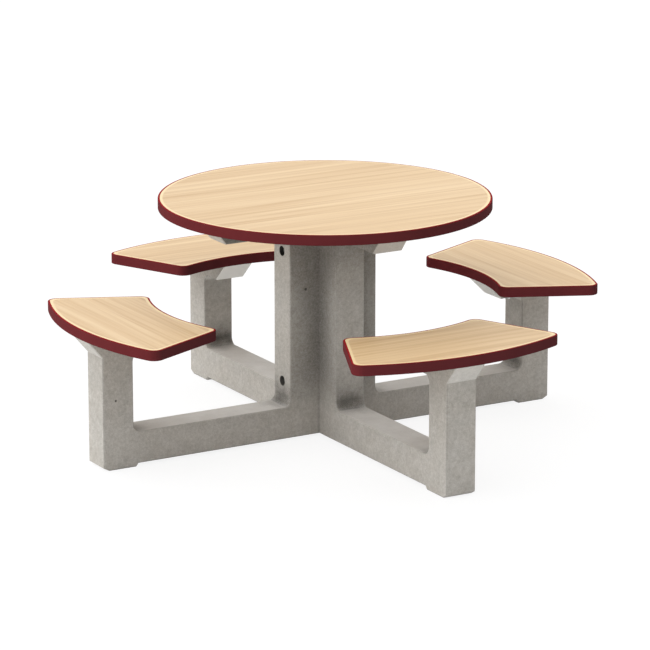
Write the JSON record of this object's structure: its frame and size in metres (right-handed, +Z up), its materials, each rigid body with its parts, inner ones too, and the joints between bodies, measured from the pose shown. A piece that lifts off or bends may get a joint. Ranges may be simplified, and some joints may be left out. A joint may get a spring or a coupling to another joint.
{
  "type": "round table with attached seats",
  "caption": "Round laminate table with fixed ring-shaped seats, all carried by cast concrete frames that are tied together in a cross.",
  "frame": {"origin": "on the floor, under the middle of the table top", "axes": "+Z up; the double concrete frame runs along Y, a side frame along -X and +X"},
  "size_m": [1.778, 1.778, 0.777],
  "materials": {
    "concrete": "cast, smooth",
    "laminate": "satin wood-grain laminate",
    "edge_band": "satin",
    "core_board": "raw board",
    "backer": "matte sheet",
    "steel": "zinc plated",
    "dark_steel": "blackened",
    "brass": "turned"
  },
  "bodies": {
    "root": {"main_frame": "concrete", "side_frame_left": "concrete", "side_frame_right": "concrete", "upper_tie_rod": "dark_steel", "lower_tie_rod": "dark_steel", "tie_rod_nuts": "dark_steel", "tie_rod_washers": "dark_steel", "tabletop_core": "core_board", "tabletop_laminate": "laminate", "tabletop_backer": "backer", "tabletop_edge_band": "edge_band", "right_seat_core": "core_board", "right_seat_laminate": "laminate", "right_seat_backer": "backer", "right_seat_edge_band": "edge_band", "back_seat_core": "core_board", "back_seat_laminate": "laminate", "back_seat_backer": "backer", "back_seat_edge_band": "edge_band", "left_seat_core": "core_board", "left_seat_laminate": "laminate", "left_seat_backer": "backer", "left_seat_edge_band": "edge_band", "front_seat_core": "core_board", "front_seat_laminate": "laminate", "front_seat_backer": "backer", "front_seat_edge_band": "edge_band", "tabletop_bolts": "steel", "tabletop_washers": "steel", "tabletop_inserts": "brass", "seat_bolts": "steel", "seat_washers": "steel", "seat_inserts": "brass"}
  },
  "joints": []
}
